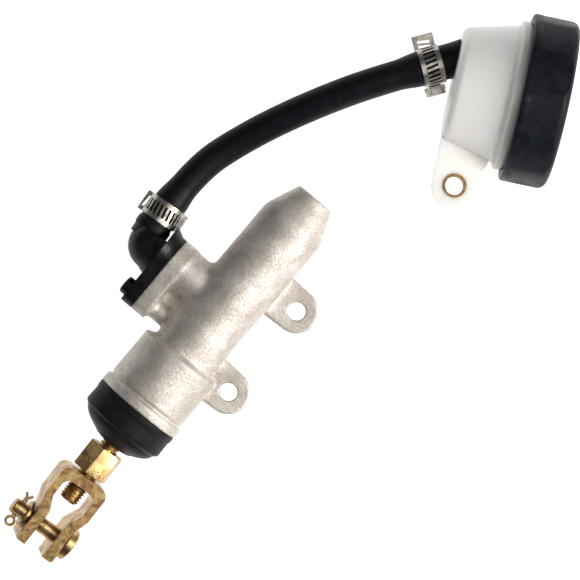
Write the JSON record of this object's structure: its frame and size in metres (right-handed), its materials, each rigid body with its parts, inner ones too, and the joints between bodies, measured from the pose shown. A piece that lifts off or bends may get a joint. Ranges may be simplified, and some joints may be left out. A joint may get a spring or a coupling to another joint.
{
  "type": "motorcycle rear brake master cylinder",
  "caption": "Rear brake master cylinder with push rod and fork clevis, bolt lugs, and a hose to a remote screw-capped fluid reservoir.",
  "frame": {"origin": "midway between the two bolt holes, on the lugs' rear mounting face", "axes": "+Y along the bore towards the outlet port, +X from the bore towards the lugs, +Z out of the lugs' front faces; the part lies flat on its back"},
  "size_m": [0.1119, 0.2802, 0.063],
  "materials": {
    "cast_aluminium": "sand-cast, satin",
    "black_plastic": "moulded, satin",
    "black_rubber": "moulded, matte",
    "hose_rubber": "extruded, semi-gloss",
    "zinc_yellow": "yellow zinc plate",
    "steel": "ground",
    "stainless": "rolled, bright",
    "white_plastic": "translucent, moulded",
    "cap_plastic": "moulded, semi-gloss",
    "bronze": "sintered",
    "screw_steel": "black zinc"
  },
  "bodies": {
    "cylinder": {"cylinder_body": "cast_aluminium", "inlet_elbow": "black_plastic", "inlet_seal": "black_rubber", "elbow_screw": "screw_steel", "boot": "black_rubber", "stop_washer": "steel", "circlip": "steel", "hose": "hose_rubber", "lower_clamp_band": "stainless", "lower_clamp_housing": "stainless"},
    "lower_screw": {"lower_clamp_screw": "stainless"},
    "piston": {"piston": "steel", "primary_cup": "black_rubber", "secondary_cup": "black_rubber", "spring_seat": "steel", "return_spring": "steel"},
    "push_rod": {"push_rod": "zinc_yellow", "lock_nut": "zinc_yellow"},
    "clevis": {"clevis": "zinc_yellow"},
    "pin": {"clevis_pin": "zinc_yellow", "pin_washer": "zinc_yellow", "split_pin": "zinc_yellow"},
    "reservoir": {"tank": "white_plastic", "tab_bush": "bronze", "upper_clamp_band": "stainless", "upper_clamp_housing": "stainless"},
    "upper_screw": {"upper_clamp_screw": "stainless"},
    "plate": {"diaphragm": "black_rubber", "cap_plate": "white_plastic"},
    "cap": {"cap": "cap_plastic"}
  },
  "joints": [
    {"name": "push_stroke", "type": "slide", "parent": "cylinder", "child": "piston", "axis": [0, 1, 0], "range_m": [0, 0.01], "stiffness_N_per_m": 1500, "springref_m": -0.012, "deforming": ["return_spring", "boot"]},
    {"name": "rod_swing", "type": "hinge", "parent": "piston", "child": "push_rod", "pos_m": [-0.022, -0.033, 0.013], "axis": [1, 0, 0], "range_deg": [-4, 4], "stiffness_Nm_per_rad": 2, "deforming": ["boot"]},
    {"name": "clevis_turn", "type": "hinge", "parent": "push_rod", "child": "clevis", "pos_m": [-0.02025, -0.08297, 0.013], "axis": [-0.0349, 0.9994, 0], "range_deg": [-90, 90]},
    {"name": "pin_turn", "type": "hinge", "parent": "clevis", "child": "pin", "pos_m": [-0.01956, -0.10296, 0.013], "axis": [0.9697, 0.0339, -0.2419], "continuous": true},
    {"name": "lower_screw_turn", "type": "hinge", "parent": "cylinder", "child": "lower_screw", "pos_m": [-0.06237, 0.01616, 0.0029], "axis": [0.9954, 0.0961, 0], "continuous": true},
    {"name": "hose_flex", "type": "hinge", "parent": "cylinder", "child": "reservoir", "pos_m": [-0.051, 0.071, 0.0195], "axis": [0, 0, 1], "range_deg": [-10, 10], "stiffness_Nm_per_rad": 0.6, "deforming": ["hose"]},
    {"name": "upper_screw_turn", "type": "hinge", "parent": "reservoir", "child": "upper_screw", "pos_m": [-0.02075, 0.12132, 0.0214], "axis": [0.8192, -0.5735, 0], "continuous": true},
    {"name": "cap_lift", "type": "slide", "parent": "reservoir", "child": "plate", "axis": [0.8813, 0.4726, 0], "range_m": [0, 0.0061]},
    {"name": "cap_turn", "type": "hinge", "parent": "plate", "child": "cap", "pos_m": [0.01574, 0.13608, 0.027], "axis": [0.8813, 0.4726, 0], "range_deg": [0, 540]}
  ],
  "couplings": [
    {"joint": "cap_lift", "follows": "cap_turn", "m_per_rad": 0.00063662}
  ]
}
